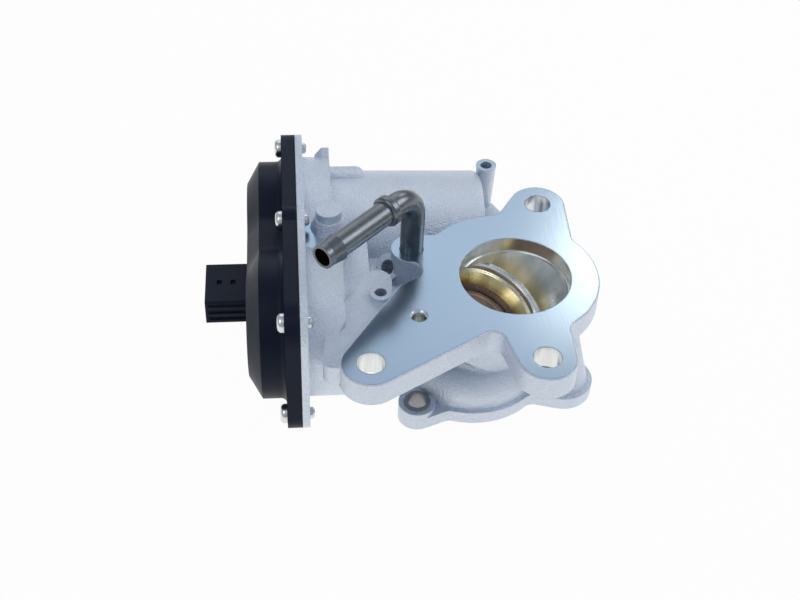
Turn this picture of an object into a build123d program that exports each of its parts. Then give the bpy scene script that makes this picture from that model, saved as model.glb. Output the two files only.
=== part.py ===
from build123d import *
import os
from math import acos, atan2, cos, hypot, pi, radians, sin, sqrt, tan

os.makedirs("parts", exist_ok=True)

# All sizes are millimetres. The origin is the centre of the inlet bore on the machined flange face,
# +Z leaves that face, +X points away from the gear case and +Y away from the two front lugs.

# Fits
press_gap = 0.02
running_gap = 0.05
seat_gap = 0.3

# Inlet flange
bore_radius = 18.6
pilot_depth = 5.5
pilot_step = 0.4
seat_approach = 10.0
flange_thickness = 8.6
rim_radius = 28.0
lug_radius = 9.6
lug_hole_radius = 4.5
rear_lug = (12.9, 36.8)
right_lug = (4.9, -38.2)
left_lug = (-50.1, -38.2)
flange_corner = 4.0
rear_web = [(4.0, 22.0, 10.0), (12.0, 16.0, 10.0)]
right_web = (0.0, -18.0)
right_web_y = -20.0
left_web = [(0.0, 0.0, 16.0), (-35.0, -7.5, 5.6)]
pad_web_x = -22.0
rim_shift = (-3.0, 3.5)
flange_edge = 0.4
edge_break = 0.5
locating_hole = (-33.5, -17.9)
locating_hole_radius = 2.1
locating_hole_depth = 7.0
locating_hole_sink = 0.7

# Shaft line, motor line and the layout across them
shaft_z = -19.5
shaft_radius = 3.5
motor_y = 48.8

# Oblique seat and flap
seat_x = -10.4
seat_tilt = 27.0
seat_lip_height = 10.3
seat_bottom_depth = 1.2
ring_outer_radius = 17.2
ring_lip_wall = 1.7
sleeve_radius = 12.4
disc_gap = 0.5
disc_thickness = 3.0
flap_travel = 80.0

# Lower body and outlet
outlet_x = -13.0
outlet_radius = 18.0
outlet_depth = 9.0
chamber_gap = 1.0
chamber_bore_drop = 4.0
chamber_wall_radius = 25.2
chamber_top_z = -27.0
chamber_round = 7.5
lower_flange_radius = 26.4
lower_face_z = -43.0
lower_flange_thickness = 4.8
neck_radius = 21.4
neck_shoulder_z = -16.0
neck_foot_x = -10.5
neck_foot_radius = 18.4
seat_wall = 3.0
tool_reach = 60.0
neck_bottom_z = -29.0
ear_boss_radius = 8.8
ear_boss_height = 24.0
ear_boss_taper = 14.0
bush_lug = (-33.1, -22.1)
bush_lug_radius = 6.3
bush_lug_top_z = -36.0
bush_radius = 4.3
bush_bore_radius = 3.35
bush_stand = 0.6
front_ear = (18.0, -11.0)
rear_ear = (-16.0, 29.0)
ear_radius = 10.5
rear_ear_radius = 8.5
lower_web_radius = 16.0
lower_web_y = 4.0
rear_web_extra = 4.0
ear_hole_radius = 3.4
ear_hole_depth = 12.0

# Gear case, gasket and cover, by their X places
plate_x = -69.0
plate_thickness = 2.5
gasket_thickness = 0.5
rim_thickness = 4.5
dome_height = 12.4
dome_wall = 2.2
case_floor_x = -62.3
case_back_x = -59.5
shaft_end_back_x = -57.0
case_wall = 2.4
motor_end_gap = 1.3
shaft_end_radius = 24.4
waist_top = 19.5
waist_low_inset = 0.8
waist_corner = 8.0
plate_side_margin = 0.8
plate_motor_margin = 1.7
plate_shaft_margin = 3.4
plate_corner = 10.0
dome_step = 1.4

# Cut corner at the back of the shaft end, and the fin beside the motor
corner_x = -62.5
corner_start_y = -17.0
corner_end_y = -24.0
corner_low_z = -10.0
corner_foot_z = -35.0
corner_margin = 5.0
corner_height = 15.0
fin_angle = 53.6
fin_height = 3.3
fin_length = 10.0
fin_width = 9.0
fin_thickness = 2.5

# Jacket beside the shaft tunnel and its raised panel
jacket_rounds = [(-50.0, 4.0, 8.0), (-26.0, 0.0, 12.0), (-28.0, 28.0, 10.0), (-50.0, 30.0, 8.0)]
jacket_top_z = -16.0
jacket_bottom_z = -34.0
panel_top_z = -8.0
panel_x = -52.5
panel_half_width = 5.0
panel_ends = (30.0, 1.0)

# Cover screws, set in from the ends and sides of the plate
screw_end_inset = 6.2
screw_side_inset = 6.5
screw_shaft_inset = 7.7
screw_corner_inset = (6.7, 6.1)
screw_middle_y = 26.2
screw_middle_inset = 3.5
screw_middle_overhang = 1.0
screw_radius = 2.0
screw_head_radius = 3.3
screw_head_height = 2.4
screw_tip_length = 1.6
screw_tip_chamfer = 0.6
screw_recess_radius = 1.6
screw_recess_depth = 1.3
screw_ear_radius = 5.0

# Motor
can_radius = 16.6
can_front_x = -62.0
can_length = 52.0
can_wall = 1.2
barrel_wall = 4.7
barrel_draft = 1.2
barrel_end_x = -5.0
barrel_end_round = 3.0
motor_shaft_radius = 1.5
rotor_radius = 11.0

# Gear train
first_module = 0.8
pinion_teeth = 11
wheel_teeth = 44
second_module = 1.0
small_teeth = 13
sector_teeth = 41
backlash = 0.14
pressure_angle = radians(20)
first_shift = 0.4
second_shift = 0.3
wheel_thickness = 5.0
sector_thickness = 5.2
axle_radius = 2.0

# Return spring
spring_mean_radius = 9.6
spring_wire_radius = 0.7
spring_turns = 4
spring_start = 1.2
guide_start = 0.6
guide_gap = 0.7
guide_bore_gap = 0.6
spring_pocket_radius = 11.5
spring_pocket_depth = 12.3
spring_boss_wall = 3.5
spring_boss_end = 3.0
tunnel_radius = 12.0

# Coolant pipe
pipe_radius = 4.0
pipe_bore_radius = 3.1
pipe_root = (-33.3, 14.9)
pipe_pad_radius = 7.0
pipe_height = 24.2
pipe_bend_radius = 9.5
pipe_run = 34.2
pipe_heading = 225.0
pipe_socket_depth = 8.0
barb_radius = 4.6
barb_length = 6.5
bead_radius = 5.2
bead_width = 3.4
bead_round = 1.0
bead_place = 2.0
barb_step = 0.9
pipe_drilling_depth = 16.0
pipe_pad_depth = 20.0

# Places along the shaft line
hub_end_x = -74.0
hub_length = 11.9
hub_radius = 6.2
magnet_height = 3.0
sector_x = -69.8
sector_window_place = 13.2
sector_window_radius = 2.6
sector_window_angle = -83.0
wheel_x = -75.3
small_gear_length = 6.0
axle_pad_height = 1.7
axle_pad_radius = 4.0
pinion_x = -76.2
pinion_length = 6.8
shaft_bores = [(7.0, -50.0, 5.0), (6.0, -45.0, 4.2), (5.2, -40.8, 18.2)]
axle_depth = 5.0
axle_boss_length = 3.5
axle_boss_wall = 2.5
axle_end = 2.0
clip_width = 1.6
clip_gauge = 0.8
motor_screw_wall = 0.5
motor_screw_angle = 73.0
motor_screw_radius = 1.5
motor_screw_depth = 9.0
motor_screw_head_radius = 2.85
motor_screw_head_height = 1.8
motor_plate_step = 1.0
motor_plate_hole_gap = 0.2
motor_boss_shift = 1.5
motor_boss_radius = 3.6
motor_boss_length = 9.0
plate_gauge = 1.6
pinion_window_radius = 6.5
rotor_length = 30.0
rotor_start = 9.0
rotor_air_gap = 1.0
magnet_overhang = 2.0
commutator_radius = 5.0
commutator_length = 5.0
magnet_gap = 6.0
contact_places = [(58.5, 6.0), (58.5, -6.0)]
contact_thickness = 0.8
contact_width = 3.0
contact_slot = 0.5
contact_reach = 3.5
spring_pitch = 1.9

# Seat and disc sections
throat_bottom_height = 3.9
lip_depth = 2.0
seal_groove_depth = 1.3
seal_groove_half = 0.65
seal_ring_half = 0.6
seal_ring_gap = 0.2
disc_rim_width = 2.0
disc_rim_height = 0.5
disc_rim_slope = 0.6
lip_shelf = 1.0
lip_shelf_drop = 0.6
throat_bulge = (0.8, 1.7)

# Cast bosses
stub_place = (-60.8, 27.0)
stub_top_z = 8.0
stub_radius = 4.5
stub_base_z = 4.5
stub_sink = 4.0
stub_base_radius = 7.5
stub_base_taper = 18.0
post_place = (-2.5, 59.5)
post_radius = 3.6
post_height = 24.0
post_draft = 2.0
post_hole = 2.0
post_hole_depth = 9.0
post_rib_step = 0.6
post_rib_end = (8.9, 36.8)
post_rib_top = 6.0
post_rib_height = 8.0
small_ear = (-45.0, -5.4)
small_ear_radius = 3.7
small_ear_hole = 2.0
small_ear_hole_depth = 7.0
small_ear_top_z = -1.0
small_ear_height = 10.0
rib_end = (-61.0, -29.0)
rib_rounds = [(-46.0, 0.0, 5.0), (-58.0, -20.0, 6.0)]
rib_bottom_z = -15.0
rib_start_z = -2.0
rib_end_z = -7.0
side_port_radius = 2.6
side_port_depth = 9.0
side_port_boss_radius = 4.8
side_port_spot_radius = 3.4
side_port_spot_height = 9.0
side_port_boss_length = 13.0
side_port_place = (-41.3, 14.0, -7.5)
side_port_facing = (-0.6, -0.5, 0.63)

# Plug connector on the cover
socket_y = 16.2
socket_width = 19.6
socket_height = 9.8
socket_wall = 1.3
socket_tip_x = -103.3
pin_count = 5
pin_pitch = 3.0
pin_width = 0.9
pin_tip_x = -98.6
socket_corner = 0.7
socket_depth = 12.0
board_back_x = -84.3
board_gauge = 1.6
board_margin = 10.0
board_height = 17.0
chip_size = (5.0, 6.0, 1.5)
dome_slope_depth = 4.4
rim_fillet_share = 0.9
plug_rib_height = 0.6
plug_rib_width = 1.0
plug_rib_heights = (2.6, -0.4, -3.2)
plug_window = (1.6, 2.4, 0.8)
plug_window_places = [(-98.6, 16.2), (-93.9, 16.2)]
dome_slope = 60.0
inner_slope_depth = 3.0
barb_taper = 8.0


def across(x):
    """Plane square to the shaft at x, with local x along Y and local y up from the shaft line."""
    return Plane(origin=(x, 0, shaft_z), x_dir=(0, 1, 0), z_dir=(1, 0, 0))


def level(z):
    return Plane.XY.offset(z)


def on_circle(centre, radius, angle):
    return (centre[0] + radius * cos(angle), centre[1] + radius * sin(angle))


def wrap(rounds):
    """Outline wrapped round circles (x, y, radius) that are listed counterclockwise."""
    facings = []
    for index, (x, y, radius) in enumerate(rounds):
        next_x, next_y, next_radius = rounds[(index + 1) % len(rounds)]
        gap = hypot(next_x - x, next_y - y)
        facings.append(atan2(next_y - y, next_x - x) - acos((radius - next_radius) / gap))
    with BuildLine() as outline:
        for index, (x, y, radius) in enumerate(rounds):
            arrive = facings[index - 1]
            leave = arrive + (facings[index] - arrive) % (2 * pi)
            ends = [on_circle((x, y), radius, angle) for angle in (arrive, (arrive + leave) / 2, leave)]
            ThreePointArc(*ends)
            next_x, next_y, next_radius = rounds[(index + 1) % len(rounds)]
            Line(ends[2], on_circle((next_x, next_y), next_radius, facings[index]))
    make_face(outline.edges())


def corners(*points):
    """Face with straight sides through the listed corners."""
    with BuildLine() as outline:
        Polyline(*points, close=True)
    make_face(outline.edges())


def case_outline(motor_end, shaft_end, inset=0.0):
    """Gear case outline: a round end about each axis and a flat waist that blends into both."""
    with Locations((motor_y, 0)):
        Circle(motor_end - inset)
    Circle(shaft_end - inset)
    with Locations((motor_y / 2, (waist_top + waist_bottom) / 2)):
        Rectangle(motor_y, waist_top - waist_bottom - 2 * inset)
    offset(amount=waist_corner)
    offset(amount=-waist_corner)


def rim_outline():
    """Rounded rectangle with an ear at each middle screw, shared by plate, gasket and cover rim."""
    with Locations(((plate_low_y + plate_high_y) / 2, 0)):
        RectangleRounded(plate_high_y - plate_low_y, 2 * plate_half_height, plate_corner)
    with Locations(screw_places[1], screw_places[5]):
        Circle(screw_ear_radius)


def involute(angle):
    return tan(angle) - angle


def tooth_run(module, teeth, shift, centre_angle, first, count):
    """Involute flanks, tips and roots of a run of teeth, drawn in the open line.

    Tooth number n is centred on centre_angle + n pitches. Returns the first and the last foot.
    """
    pitch_radius = module * teeth / 2
    base_radius = pitch_radius * cos(pressure_angle)
    root_radius = pitch_radius - (1.25 - shift) * module
    tip_radius = pitch_radius + (0.95 + shift) * module
    start_radius = max(base_radius, root_radius)
    thickness = module * (pi / 2 + 2 * shift * tan(pressure_angle)) - backlash
    pitch_half = thickness / (2 * pitch_radius) + involute(pressure_angle)
    flank = []
    for radius in (start_radius, (start_radius + tip_radius) / 2, tip_radius):
        flank.append((radius, pitch_half - involute(acos(base_radius / radius))))
    root_half = flank[0][1]
    feet = []
    for number in range(first, first + count):
        middle = centre_angle + number * 2 * pi / teeth
        foot = on_circle((0, 0), root_radius, middle - root_half)
        rise = [on_circle((0, 0), radius, middle - half) for radius, half in flank]
        fall = [on_circle((0, 0), radius, middle + half) for radius, half in reversed(flank)]
        end = on_circle((0, 0), root_radius, middle + root_half)
        if feet:
            Line(feet[-1], foot)
        Line(foot, rise[0])
        ThreePointArc(*rise)
        Line(rise[2], fall[0])
        ThreePointArc(*fall)
        Line(fall[2], end)
        feet += [foot, end]
    return feet[0], feet[-1]


def toothed_wheel(module, teeth, shift, centre_angle):
    """Face of a whole gear, centred on its own axis."""
    with BuildLine() as outline:
        first_foot, last_foot = tooth_run(module, teeth, shift, centre_angle, 0, teeth)
        Line(last_foot, first_foot)
    return make_face(outline.edges(), mode=Mode.PRIVATE)


# Worked-out places
motor_screw_circle = can_radius + seat_gap + motor_screw_radius + motor_screw_wall
motor_boss_circle = motor_screw_circle + motor_boss_shift
motor_end_radius = motor_screw_circle + motor_boss_radius + motor_end_gap + case_wall
fin_reach = motor_end_radius + fin_height
dome_radius = motor_end_radius - dome_step
waist_bottom = waist_low_inset - dome_radius
plate_half_height = motor_end_radius + plate_side_margin
plate_high_y = motor_y + motor_end_radius + plate_motor_margin
plate_low_y = -dome_radius - plate_shaft_margin
rim_fillet = rim_fillet_share * (plate_half_height - dome_radius)
screw_places = [
    (plate_high_y - screw_end_inset, plate_half_height - screw_side_inset),
    (screw_middle_y, plate_half_height - screw_middle_inset),
    (plate_low_y + screw_shaft_inset, plate_half_height - screw_side_inset),
    (plate_low_y + screw_corner_inset[0], screw_corner_inset[1] - plate_half_height),
    (plate_high_y - screw_end_inset, screw_side_inset - plate_half_height),
    (screw_middle_y, -plate_half_height - screw_middle_overhang),
]
seat_normal = (sin(radians(seat_tilt)), 0, cos(radians(seat_tilt)))
seat_across = (cos(radians(seat_tilt)), 0, -sin(radians(seat_tilt)))
seat_centre = (seat_x, 0, shaft_z)
seat_floor_height = seat_lip_height - edge_break
ring_lip_radius = ring_outer_radius - ring_lip_wall
disc_radius = sleeve_radius - disc_gap
seal_groove_radius = disc_radius - seal_groove_depth
chamber_radius = sleeve_radius + chamber_gap
seat_plane = Plane(origin=seat_centre, x_dir=seat_across, z_dir=seat_normal)
seat_section = Plane(origin=seat_centre, x_dir=seat_across, z_dir=(0, -1, 0))
seat_axis = Axis(seat_centre, seat_normal)
plate_face_x = plate_x - plate_thickness
rim_back_x = plate_face_x - gasket_thickness
rim_front_x = rim_back_x - rim_thickness
dome_face_x = rim_front_x - dome_height
dome_inner_x = dome_face_x + dome_wall
first_distance = first_module * (pinion_teeth + wheel_teeth) / 2
second_distance = second_module * (small_teeth + sector_teeth) / 2
middle_y = (second_distance**2 - first_distance**2 + motor_y**2) / (2 * motor_y)
middle_up = -sqrt(second_distance**2 - middle_y**2)
middle_heading = atan2(middle_up, middle_y)
motor_heading = atan2(-middle_up, motor_y - middle_y)

side_port = Plane(origin=side_port_place, z_dir=side_port_facing)
outlet_top_z = lower_face_z + outlet_depth
approach_radius = ring_outer_radius + running_gap
stub_foot_z = shaft_z + waist_top - stub_sink
rib_run = Vector(*rib_end, rib_end_z) - Vector(*small_ear, rib_start_z)
rib_top = Plane(
    origin=(*small_ear, rib_start_z),
    x_dir=rib_run,
    z_dir=rib_run.cross(Vector(-rib_run.Y, rib_run.X, 0)),
)

# Cutting tools for the casting: seat pocket, inlet and outlet
with BuildPart() as seat_pocket:
    with BuildSketch(seat_section):
        with Locations((0, -seat_bottom_depth)):
            Rectangle(ring_outer_radius + press_gap, seat_bottom_depth + seat_lip_height, align=Align.MIN)
    revolve(axis=seat_axis)

# Inlet: a pilot bore, then a passage that narrows along the seat axis down to the ring
with BuildPart() as inlet_tool:
    with BuildSketch(level(1)):
        Circle(bore_radius - pilot_step)
    extrude(amount=-tool_reach)
    with BuildSketch(seat_section):
        corners(
            (0, seat_floor_height),
            (approach_radius, seat_floor_height),
            (approach_radius + tool_reach * tan(radians(seat_approach)), seat_floor_height + tool_reach),
            (0, seat_floor_height + tool_reach),
        )
    revolve(axis=seat_axis, mode=Mode.INTERSECT)
    with BuildSketch(level(1)):
        Circle(bore_radius)
    extrude(amount=-1 - pilot_depth)

# Outlet: a ball round the flap, a short bore and a cone that opens into the outlet bore
with BuildPart() as chamber_tool:
    with Locations(seat_centre):
        Sphere(chamber_radius)
    with BuildSketch(level(shaft_z - chamber_bore_drop)):
        with Locations((outlet_x, 0)):
            Circle(chamber_radius)
    extrude(amount=outlet_top_z - shaft_z + chamber_bore_drop)
    with BuildSketch(level(outlet_top_z)):
        with Locations((outlet_x, 0)):
            Circle(outlet_radius - pilot_step)
    extrude(amount=outlet_radius - pilot_step - chamber_radius, taper=45)
    with BuildSketch(level(lower_face_z - 1)):
        with Locations((outlet_x, 0)):
            Circle(outlet_radius)
    extrude(amount=1 + outlet_depth)

# Bodies of the casting that are rounded or cut before they join it
with BuildPart() as inlet_flange:
    with BuildSketch(level(0)):
        wrap([(0, 0, rim_radius), (*rim_shift, rim_radius)])
        wrap([(*rear_lug, lug_radius), *rear_web])
        wrap([(*right_lug, lug_radius), (right_lug[0], right_web_y, lug_radius), (*right_web, lug_radius)])
        wrap([(*left_lug, lug_radius), *left_web])
        wrap([(*pipe_root, pipe_pad_radius), (pad_web_x, pipe_root[1], pipe_pad_radius)])
        offset(amount=flange_corner)
        offset(amount=-flange_corner)
    extrude(amount=-flange_thickness)
    chamfer(inlet_flange.faces().sort_by(Axis.Z)[-1].outer_wire().edges(), flange_edge)

with BuildPart() as seat_wall_body:
    with BuildSketch(seat_section):
        corners(
            (0, -seat_bottom_depth - 2 * seat_wall),
            (ring_outer_radius, -seat_bottom_depth - 2 * seat_wall),
            (ring_outer_radius + seat_wall, -seat_bottom_depth - seat_wall),
            (ring_outer_radius + seat_wall, seat_lip_height + seat_wall),
            (0, seat_lip_height + seat_wall),
        )
    revolve(axis=seat_axis)
    split(bisect_by=level(-flange_thickness / 2), keep=Keep.BOTTOM)

with BuildPart() as outlet_body:
    with BuildSketch(level(lower_face_z)):
        with Locations((outlet_x, 0)):
            Circle(chamber_wall_radius)
    extrude(amount=chamber_top_z - lower_face_z)
    fillet(outlet_body.faces().sort_by(Axis.Z)[-1].edges(), chamber_round)

with BuildPart() as motor_barrel:
    with BuildSketch(across(case_back_x - 2)):
        with Locations((motor_y, 0)):
            Circle(can_radius + barrel_wall)
    extrude(amount=barrel_end_x - case_back_x + 2, taper=barrel_draft)
    fillet(motor_barrel.faces().sort_by(Axis.X)[-1].edges(), barrel_end_round)

with BuildPart() as ear_rib:
    with BuildSketch(level(0)):
        wrap([(*small_ear, small_ear_radius), *rib_rounds, (*rib_end, small_ear_radius)])
    extrude(amount=rib_bottom_z)
    split(bisect_by=rib_top, keep=Keep.BOTTOM)

# Housing, one aluminium casting with machined faces
with BuildPart() as valve_housing:
    # Inlet flange, neck drawn in towards the outlet, wall round the seat and outlet chamber
    add(inlet_flange.part)
    with BuildSketch(level(-flange_thickness)):
        Circle(neck_radius)
    extrude(amount=neck_shoulder_z + flange_thickness)
    with BuildSketch(level(neck_shoulder_z)):
        Circle(neck_radius)
    with BuildSketch(level(neck_bottom_z)):
        with Locations((neck_foot_x, 0)):
            Circle(neck_foot_radius)
    loft()
    add(seat_wall_body.part)
    add(outlet_body.part)
    # Lower flange
    with BuildSketch(level(lower_face_z)):
        with Locations((outlet_x, 0)):
            Circle(lower_flange_radius)
        wrap([(*front_ear, ear_radius), (0, 0, lower_web_radius)])
        wrap([(*rear_ear, rear_ear_radius), (outlet_x, lower_web_y, lower_web_radius + rear_web_extra)])
        wrap([(*bush_lug, bush_lug_radius), (outlet_x, -lower_web_y, lower_web_radius)])
        offset(amount=flange_corner)
        offset(amount=-flange_corner)
    extrude(amount=lower_flange_thickness)
    with BuildSketch(level(lower_face_z)):
        with Locations(bush_lug):
            Circle(bush_lug_radius)
    extrude(amount=bush_lug_top_z - lower_face_z)
    # Tapered boss on the front ear, up the side of the neck
    with BuildSketch(level(lower_face_z + lower_flange_thickness)):
        with Locations(front_ear):
            Circle(ear_boss_radius)
    extrude(amount=ear_boss_height, taper=ear_boss_taper)
    # Shaft tunnel and spring pocket boss
    with BuildSketch(across(case_back_x)):
        Circle(tunnel_radius)
    extrude(amount=outlet_x - case_back_x)
    with BuildSketch(across(case_back_x)):
        Circle(spring_pocket_radius + spring_boss_wall)
    extrude(amount=case_floor_x + spring_pocket_depth + spring_boss_end - case_back_x)
    # Jacket between the tunnel, the motor barrel and the flange
    with BuildSketch(level(jacket_top_z)):
        wrap(jacket_rounds)
    extrude(amount=jacket_bottom_z - jacket_top_z)
    with BuildSketch(level(panel_top_z)):
        wrap([(panel_x, panel_ends[0], panel_half_width), (panel_x, panel_ends[1], panel_half_width)])
    extrude(amount=jacket_bottom_z - panel_top_z)
    with BuildSketch(level(0)):
        with Locations(pipe_root):
            Circle(pipe_pad_radius)
    extrude(amount=-pipe_pad_depth)
    # Motor barrel, gear case and its plate
    add(motor_barrel.part)
    with BuildSketch(across(plate_x)):
        case_outline(motor_end_radius, shaft_end_radius)
    extrude(amount=case_back_x - plate_x)
    with BuildSketch(across(case_back_x)):
        Circle(shaft_end_radius)
    extrude(amount=shaft_end_back_x - case_back_x)
    with BuildSketch(across(plate_face_x)):
        rim_outline()
    extrude(amount=plate_thickness)
    # The back corner of the shaft end is cut away: square at the top, slanting down the front
    with BuildSketch(level(corner_low_z)):
        corners(
            (shaft_end_back_x, corner_start_y),
            (corner_x, corner_end_y),
            (corner_x, corner_end_y - corner_margin),
            (shaft_end_back_x, corner_end_y - corner_margin),
        )
    extrude(amount=corner_height, mode=Mode.SUBTRACT)
    with BuildSketch(Plane.XZ.offset(-corner_end_y - 3)):
        corners(
            (corner_x, corner_low_z),
            (shaft_end_back_x, corner_foot_z),
            (shaft_end_back_x, corner_low_z),
        )
    extrude(amount=10, mode=Mode.SUBTRACT)
    # Fin on the back of the case beside the motor
    with BuildSketch(across(case_back_x)):
        with Locations((motor_y, 0)):
            with PolarLocations(fin_reach - fin_length / 2, 1, fin_angle):
                Rectangle(fin_length, fin_width)
    extrude(amount=-fin_thickness)
    with BuildSketch(across(case_back_x - fin_thickness)):
        with Locations((motor_y, 0)):
            with PolarLocations(fin_reach - fin_length / 2, 1, fin_angle):
                Rectangle(fin_length, fin_width)
    extrude(amount=-fin_thickness, taper=45)
    # Cast bosses for the motor screws and the gear axle
    with BuildSketch(across(case_back_x)):
        with Locations((motor_y, 0)):
            with PolarLocations(motor_boss_circle, 2, motor_screw_angle):
                Circle(motor_boss_radius)
    extrude(amount=motor_boss_length)
    with Locations(across(case_back_x + motor_boss_length)):
        with Locations((motor_y, 0)):
            with PolarLocations(motor_boss_circle, 2, motor_screw_angle):
                Sphere(motor_boss_radius)
    with BuildSketch(across(case_back_x)):
        with Locations((middle_y, middle_up)):
            Circle(axle_radius + axle_boss_wall)
    extrude(amount=axle_boss_length)
    # Round stub on the gear case and bracket post beside the barrel
    with BuildSketch(level(stub_top_z)):
        with Locations(stub_place):
            Circle(stub_radius)
    extrude(amount=stub_foot_z - stub_top_z)
    with BuildSketch(level(stub_foot_z)):
        with Locations(stub_place):
            Circle(stub_base_radius)
    extrude(amount=stub_base_z - stub_foot_z, taper=stub_base_taper)
    with BuildSketch(level(0)):
        with Locations(post_place):
            Circle(post_radius)
    extrude(amount=-post_height, taper=post_draft)
    # Ribs from the case to the small ear and from the post to the rear lug
    add(ear_rib.part)
    with BuildSketch(level(small_ear_top_z)):
        with Locations(small_ear):
            Circle(small_ear_radius)
    extrude(amount=-small_ear_height)
    with BuildSketch(level(post_rib_top - post_height)):
        wrap([(*post_place, post_radius - post_rib_step), (*post_rib_end, post_radius)])
    extrude(amount=-post_rib_height)
    # Boss of the side port
    with BuildSketch(side_port):
        Circle(side_port_boss_radius)
    extrude(amount=-side_port_boss_length)
    # Flow passage
    add(inlet_tool.part, mode=Mode.SUBTRACT)
    add(seat_pocket.part, mode=Mode.SUBTRACT)
    add(chamber_tool.part, mode=Mode.SUBTRACT)
    # Gear case, motor and spring pockets
    with BuildSketch(across(plate_face_x)):
        case_outline(motor_end_radius, shaft_end_radius, case_wall)
    extrude(amount=case_floor_x - plate_face_x, mode=Mode.SUBTRACT)
    with BuildSketch(across(case_floor_x)):
        with Locations((motor_y, 0)):
            Circle(can_radius + seat_gap)
    extrude(amount=can_front_x + can_length + 1 - case_floor_x, mode=Mode.SUBTRACT)
    with BuildSketch(across(case_floor_x)):
        Circle(spring_pocket_radius)
    extrude(amount=spring_pocket_depth, mode=Mode.SUBTRACT)
    # Raised pad that carries the intermediate gear
    with BuildSketch(across(case_floor_x)):
        with Locations((middle_y, middle_up)):
            Circle(axle_pad_radius)
    extrude(amount=-axle_pad_height)
    # Stepped shaft bore
    for bore, start, depth in shaft_bores:
        with BuildSketch(across(start)):
            Circle(bore + press_gap)
        extrude(amount=depth, mode=Mode.SUBTRACT)
    # Screw and axle holes
    with BuildSketch(across(plate_face_x)):
        with Locations(*screw_places):
            Circle(screw_radius + press_gap)
    extrude(amount=plate_thickness + screw_tip_length + seat_gap, mode=Mode.SUBTRACT)
    with BuildSketch(across(case_floor_x)):
        with Locations((motor_y, 0)):
            with PolarLocations(motor_screw_circle, 2, motor_screw_angle):
                Circle(motor_screw_radius + press_gap)
    extrude(amount=motor_screw_depth + seat_gap, mode=Mode.SUBTRACT)
    with BuildSketch(across(case_floor_x - axle_pad_height)):
        with Locations((middle_y, middle_up)):
            Circle(axle_radius + press_gap)
    extrude(amount=axle_pad_height + axle_depth + seat_gap, mode=Mode.SUBTRACT)
    # Flange holes
    with Locations((*rear_lug, 0), (*right_lug, 0), (*left_lug, 0)):
        Hole(lug_hole_radius, depth=flange_thickness)
    with Locations((*locating_hole, 0)):
        CounterSinkHole(
            locating_hole_radius, locating_hole_radius + locating_hole_sink, depth=locating_hole_depth
        )
    with Locations((*small_ear, small_ear_top_z)):
        Hole(small_ear_hole, depth=small_ear_hole_depth)
    with Locations((*post_place, 0)):
        Hole(post_hole, depth=post_hole_depth)
    with Locations((*pipe_root, 0)):
        Hole(pipe_radius + press_gap, depth=pipe_socket_depth)
        Hole(pipe_bore_radius, depth=pipe_drilling_depth)
    with Locations((*bush_lug, bush_lug_top_z)):
        Hole(bush_radius + press_gap, depth=bush_lug_top_z - lower_face_z)
    with BuildSketch(level(lower_face_z)):
        with Locations(front_ear, rear_ear):
            Circle(ear_hole_radius)
    extrude(amount=ear_hole_depth, mode=Mode.SUBTRACT)
    # Tapped side port beside the pipe, with its spot face cut into the pad
    with BuildSketch(side_port):
        Circle(side_port_radius)
    extrude(amount=-side_port_depth, mode=Mode.SUBTRACT)
    with BuildSketch(side_port):
        Circle(side_port_spot_radius)
    extrude(amount=side_port_spot_height, mode=Mode.SUBTRACT)
valve_housing.part.label = "valve_housing"
export_step(valve_housing.part, "parts/valve_housing.step")

# Steel seat ring, pressed in obliquely: lip, curved throat and sleeve that the disc closes
with BuildPart() as seat_ring:
    with BuildSketch(seat_section):
        with BuildLine():
            Polyline(
                (sleeve_radius, throat_bottom_height),
                (sleeve_radius, -seat_bottom_depth),
                (ring_outer_radius, -seat_bottom_depth),
                (ring_outer_radius, seat_lip_height - edge_break),
                (ring_outer_radius - edge_break, seat_lip_height),
                (ring_lip_radius + edge_break, seat_lip_height),
                (ring_lip_radius, seat_lip_height - edge_break),
                (ring_lip_radius, seat_lip_height - lip_depth),
                (ring_lip_radius - lip_shelf, seat_lip_height - lip_depth - lip_shelf_drop),
            )
            ThreePointArc(
                (ring_lip_radius - lip_shelf, seat_lip_height - lip_depth - lip_shelf_drop),
                (sleeve_radius + throat_bulge[0], throat_bottom_height + throat_bulge[1]),
                (sleeve_radius, throat_bottom_height),
            )
        make_face()
    revolve(axis=seat_axis)
seat_ring.part.label = "seat_ring"
export_step(seat_ring.part, "parts/seat_ring.step")

# Flap disc with a groove for its seal ring and a shallow turned face
with BuildPart() as flap_disc:
    with BuildSketch(seat_section):
        with BuildLine():
            Polyline(
                (0, -disc_thickness / 2),
                (disc_radius - edge_break, -disc_thickness / 2),
                (disc_radius, edge_break - disc_thickness / 2),
                (disc_radius, -seal_groove_half),
                (seal_groove_radius, -seal_groove_half),
                (seal_groove_radius, seal_groove_half),
                (disc_radius, seal_groove_half),
                (disc_radius, disc_thickness / 2 - edge_break),
                (disc_radius - edge_break, disc_thickness / 2),
                (disc_radius - disc_rim_width, disc_thickness / 2),
                (disc_radius - disc_rim_width - disc_rim_slope, disc_thickness / 2 - disc_rim_height),
                (0, disc_thickness / 2 - disc_rim_height),
                close=True,
            )
        make_face()
    revolve(axis=seat_axis)
flap_disc.part.label = "flap_disc"
export_step(flap_disc.part, "parts/flap_disc.step")

# Split seal ring that floats in the groove
with BuildPart() as flap_seal_ring:
    with BuildSketch(seat_plane.offset(-seal_ring_half)):
        Circle(sleeve_radius - running_gap)
        Circle(seal_groove_radius + seal_ring_gap, mode=Mode.SUBTRACT)
    extrude(amount=2 * seal_ring_half)
flap_seal_ring.part.label = "flap_seal_ring"
export_step(flap_seal_ring.part, "parts/flap_seal_ring.step")

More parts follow.
